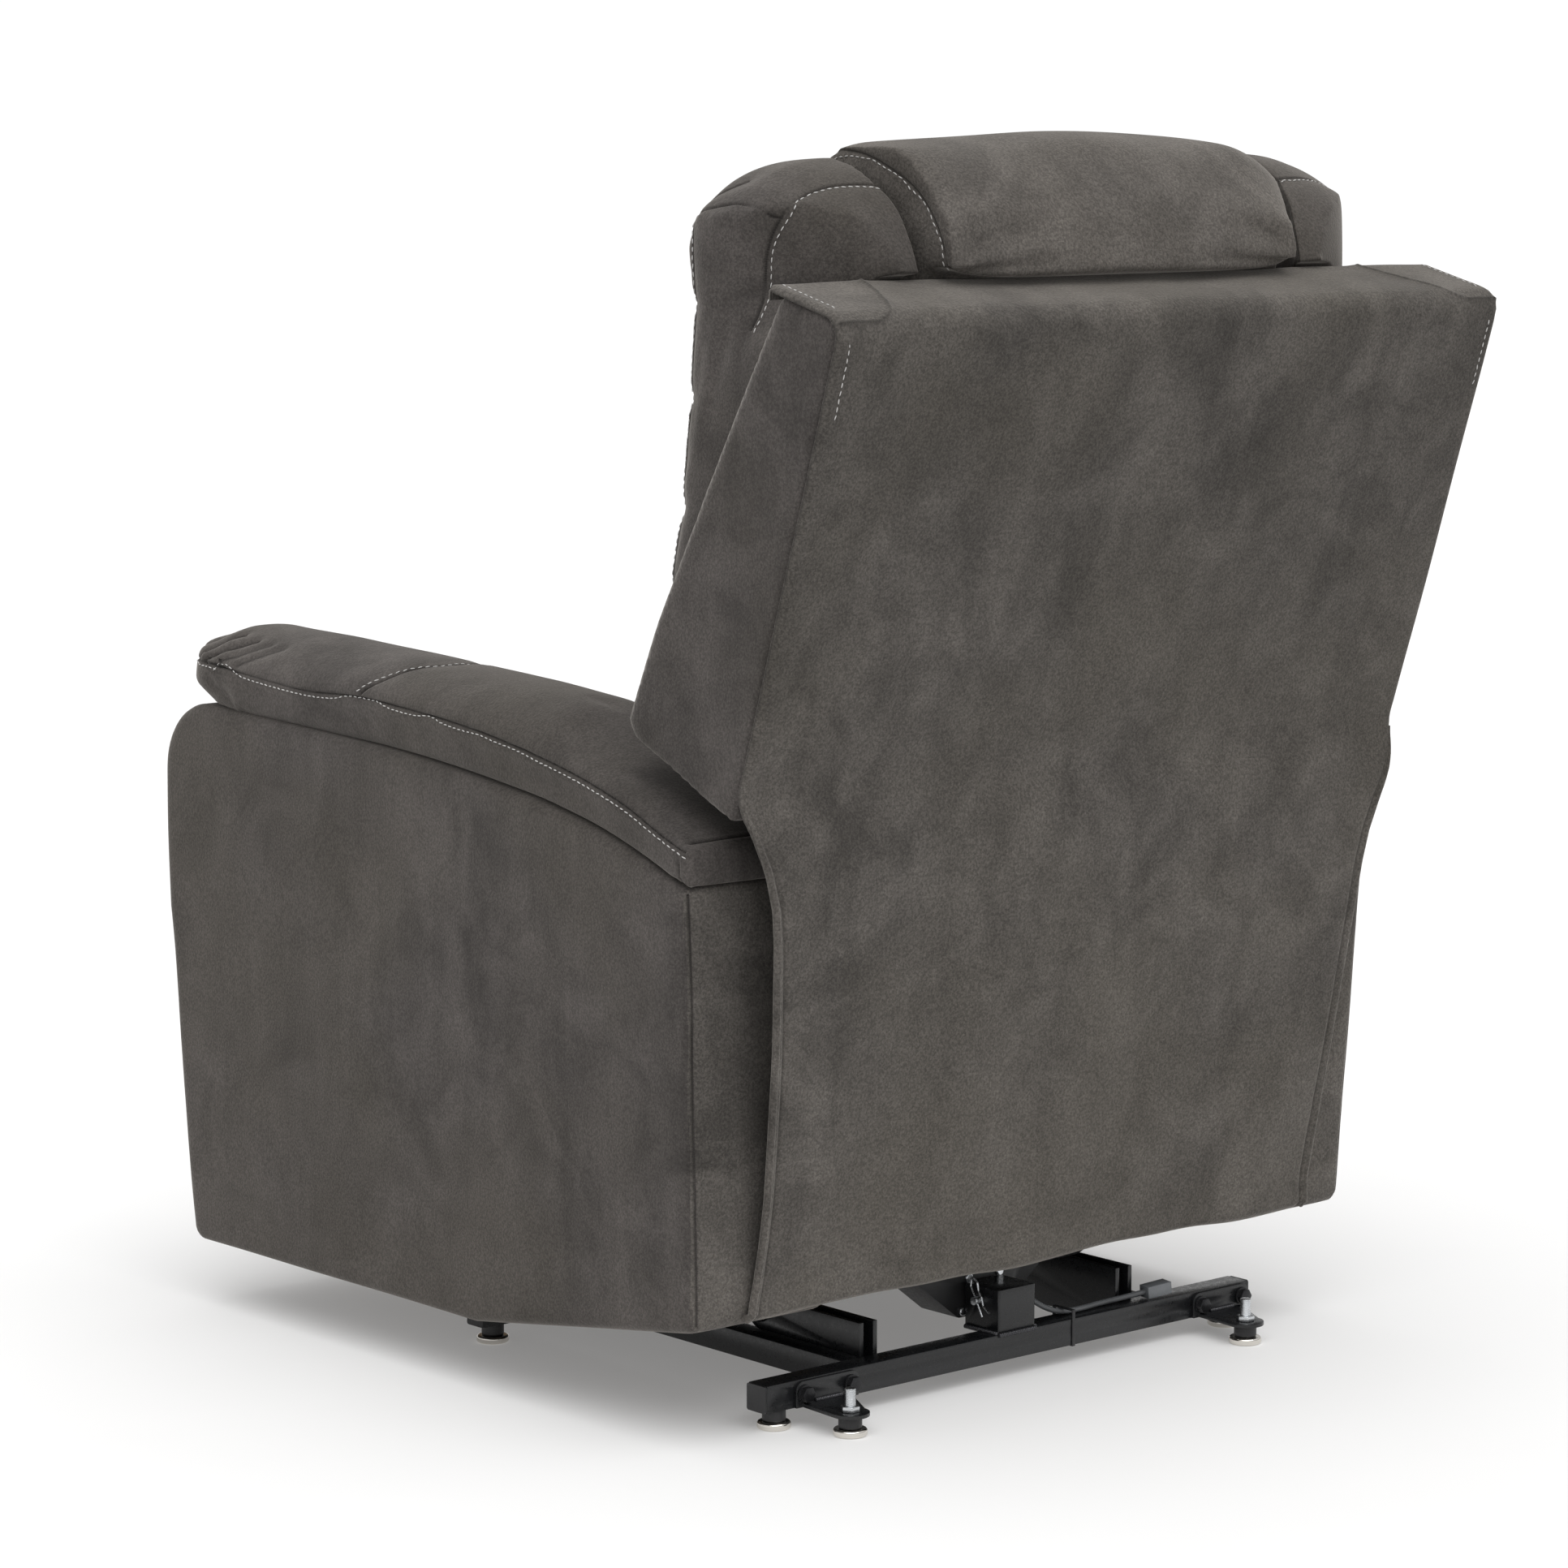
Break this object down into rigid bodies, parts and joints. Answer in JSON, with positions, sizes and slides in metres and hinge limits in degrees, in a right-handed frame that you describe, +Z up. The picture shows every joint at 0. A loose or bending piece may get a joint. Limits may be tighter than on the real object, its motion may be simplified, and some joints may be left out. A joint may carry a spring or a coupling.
{
  "type": "power lift recliner armchair",
  "caption": "Upholstered power lift recliner armchair on a steel base, with a reclining back, a folding footrest, a lift linkage, adjustable feet and a hand control in a side pocket.",
  "frame": {"origin": "on the floor under the middle of the chair's bounding box, feet standing on z = 0", "axes": "+Z up, +X to the sitter's left, the chair faces -Y"},
  "size_m": [0.84, 1.0327, 1.1741],
  "materials": {
    "black_steel": "satin powder coat",
    "black_bolts": "black oxide",
    "chrome_glide": "polished",
    "zinc": "zinc plated",
    "black_plastic": "fine grain",
    "grey_plastic": "fine grain",
    "grey_lead": "satin jacket",
    "plywood": "raw plywood",
    "spring_steel": "dark oiled wire",
    "upholstery": "brushed suede"
  },
  "bodies": {
    "base": {"base_rear_tube": "black_steel", "base_front_tube": "black_steel", "base_rails": "black_steel", "tube_end_caps": "black_plastic", "outrigger_brackets": "black_steel", "bracket_bolts": "black_bolts", "foot_glides": "chrome_glide", "foot_cups": "black_plastic", "foot_studs": "zinc", "drive_post": "black_steel", "clevis_pin": "zinc", "r_clip": "zinc", "lift_drive_housing": "black_plastic", "lift_drive_tube": "black_plastic", "drive_screws": "zinc", "power_lead": "grey_lead", "lead_plug": "grey_plastic", "cable_tie": "black_plastic", "lift_arm_cheeks": "black_steel", "front_link_brackets": "black_steel", "base_pivot_pins": "black_bolts"},
    "lift_arm_pair": {"lift_arms": "black_steel"},
    "front_link_pair": {"front_links": "black_steel", "front_torque_tube": "black_steel"},
    "lift_drive_rod": {"lift_rod": "zinc"},
    "chair_frame": {"lift_frame_plates": "black_steel", "mechanism_plates": "black_steel", "frame_cross_tubes": "black_steel", "recline_drive": "black_plastic", "frame_pins": "black_bolts", "seat_box": "plywood", "seat_springs": "spring_steel", "seat_cushion": "upholstery", "arm_frames": "plywood", "arm_left": "upholstery", "arm_right": "upholstery", "arm_pad_left": "upholstery", "arm_pad_right": "upholstery", "side_pocket": "upholstery", "hand_control": "black_plastic", "rear_flap": "upholstery"},
    "recline_drive_rod": {"recline_rod": "zinc"},
    "raise_key": {"raise_button": "grey_plastic"},
    "lower_key": {"lower_button": "grey_plastic"},
    "footrest_drive_links": {"footrest_main_links": "black_steel"},
    "footrest_guide_links": {"footrest_control_links": "black_steel"},
    "footrest_scissors": {"footrest_scissor_links": "black_steel"},
    "footrest_stays": {"footrest_lower_links": "black_steel"},
    "footrest": {"footrest_brackets": "black_steel", "footrest_board": "plywood", "footrest_pad": "upholstery"},
    "back": {"back_torque_tube": "black_steel", "back_frame": "plywood", "back_hangers": "black_steel", "back_shell": "upholstery", "bolster_left": "upholstery", "bolster_right": "upholstery", "lumbar_cushion": "upholstery", "upper_cushion": "upholstery", "head_pillow": "upholstery"}
  },
  "joints": [
    {"name": "lift", "type": "hinge", "parent": "base", "child": "lift_arm_pair", "pos_m": [0, 0.139, 0.06], "axis": [-1, 0, 0], "range_deg": [0, 25.25]},
    {"name": "front_link_hinge", "type": "hinge", "parent": "base", "child": "front_link_pair", "pos_m": [0, -0.119, 0.15], "axis": [-1, 0, 0], "range_deg": [0, 36.32]},
    {"name": "lift_rod_slide", "type": "slide", "parent": "base", "child": "lift_drive_rod", "axis": [0, -1, 0], "range_m": [0, 0.0499]},
    {"name": "frame_hinge", "type": "hinge", "parent": "lift_arm_pair", "child": "chair_frame", "pos_m": [0, -0.222, 0.106], "axis": [1, 0, 0], "range_deg": [0, 43.24]},
    {"name": "recline", "type": "hinge", "parent": "chair_frame", "child": "back", "pos_m": [0, 0.252, 0.422], "axis": [-1, 0, 0], "range_deg": [0, 45], "deforming": ["rear_flap"]},
    {"name": "recline_rod_slide", "type": "slide", "parent": "chair_frame", "child": "recline_drive_rod", "axis": [0, -0.8192, -0.5736], "range_m": [0, 0.05741]},
    {"name": "footrest", "type": "hinge", "parent": "chair_frame", "child": "footrest_drive_links", "pos_m": [0, -0.373, 0.26], "axis": [-1, 0, 0], "range_deg": [0, 88.69]},
    {"name": "footrest_guide_hinge", "type": "hinge", "parent": "chair_frame", "child": "footrest_guide_links", "pos_m": [0, -0.349, 0.338], "axis": [-1, 0, 0], "range_deg": [0, 78.36]},
    {"name": "footrest_scissor_hinge", "type": "hinge", "parent": "footrest_drive_links", "child": "footrest_scissors", "pos_m": [0, -0.325, 0.155], "axis": [1, 0, 0], "range_deg": [0, 107.72]},
    {"name": "footrest_stay_hinge", "type": "hinge", "parent": "footrest_drive_links", "child": "footrest_stays", "pos_m": [0, -0.303, 0.088], "axis": [1, 0, 0], "range_deg": [0, 107.55]},
    {"name": "footrest_board_hinge", "type": "hinge", "parent": "footrest_scissors", "child": "footrest", "pos_m": [0, -0.439, 0.362], "axis": [-1, 0, 0], "range_deg": [0, 109.03]},
    {"name": "raise_press", "type": "slide", "parent": "chair_frame", "child": "raise_key", "axis": [1, 0, 0], "range_m": [0, 0.001], "stiffness_N_per_m": 800, "springref_m": -0.0015},
    {"name": "lower_press", "type": "slide", "parent": "chair_frame", "child": "lower_key", "axis": [1, 0, 0], "range_m": [0, 0.001], "stiffness_N_per_m": 800, "springref_m": -0.0015}
  ],
  "couplings": [
    {"joint": "front_link_hinge", "follows": "lift", "ratio": 1.438},
    {"joint": "frame_hinge", "follows": "lift", "ratio": 1.7117},
    {"joint": "lift_rod_slide", "follows": "lift", "m_per_rad": 0.11312},
    {"joint": "recline_rod_slide", "follows": "recline", "m_per_rad": 0.073087},
    {"joint": "footrest_guide_hinge", "follows": "footrest", "ratio": 0.88348},
    {"joint": "footrest_scissor_hinge", "follows": "footrest", "ratio": 1.2145},
    {"joint": "footrest_stay_hinge", "follows": "footrest", "ratio": 1.2126},
    {"joint": "footrest_board_hinge", "follows": "footrest", "ratio": 1.2293}
  ]
}
